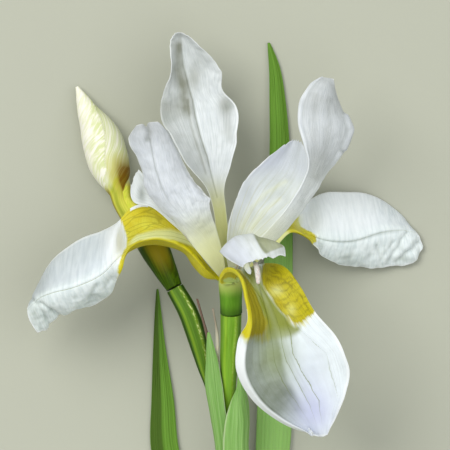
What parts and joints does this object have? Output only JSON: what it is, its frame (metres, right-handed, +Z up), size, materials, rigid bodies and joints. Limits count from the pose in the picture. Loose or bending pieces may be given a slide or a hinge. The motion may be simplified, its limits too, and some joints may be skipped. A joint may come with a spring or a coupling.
{
  "type": "iris flower",
  "caption": "Cut stem of a white iris with yellow signals, lying on its back: open bloom, bud, green spathes and sword leaves.",
  "frame": {"origin": "middle of the part's outer box, on the surface that it lies on", "axes": "+Y along the stem towards the bloom, +Z up off the surface, +X to the right of the bloom as seen from above"},
  "size_m": [0.1201, 0.2012, 0.0599],
  "materials": {
    "standard": "satin, thin and translucent",
    "fall": "satin, thin and translucent",
    "style": "satin, thin and translucent",
    "anther": "powdery",
    "green": "waxy",
    "bud": "satin",
    "spathe": "waxy bloom",
    "bract": "dry and papery",
    "leaf": "waxy, ribbed"
  },
  "bodies": {
    "root": {"fall_left": "fall", "fall_right": "fall", "fall_front": "fall", "standard_back": "standard", "standard_left": "standard", "standard_right": "standard", "style_left": "style", "style_right": "style", "style_front": "style", "stamen_front": "anther", "stamen_left": "anther", "stamen_right": "anther", "perianth_tube": "green", "ovary_open": "green", "ovary_bud": "green", "bud": "bud", "stem": "green", "spathe_left": "spathe", "spathe_front": "spathe", "bract_dry_left": "bract", "bract_dry_right": "bract", "leaf_tall": "leaf", "leaf_short": "leaf"}
  },
  "joints": []
}
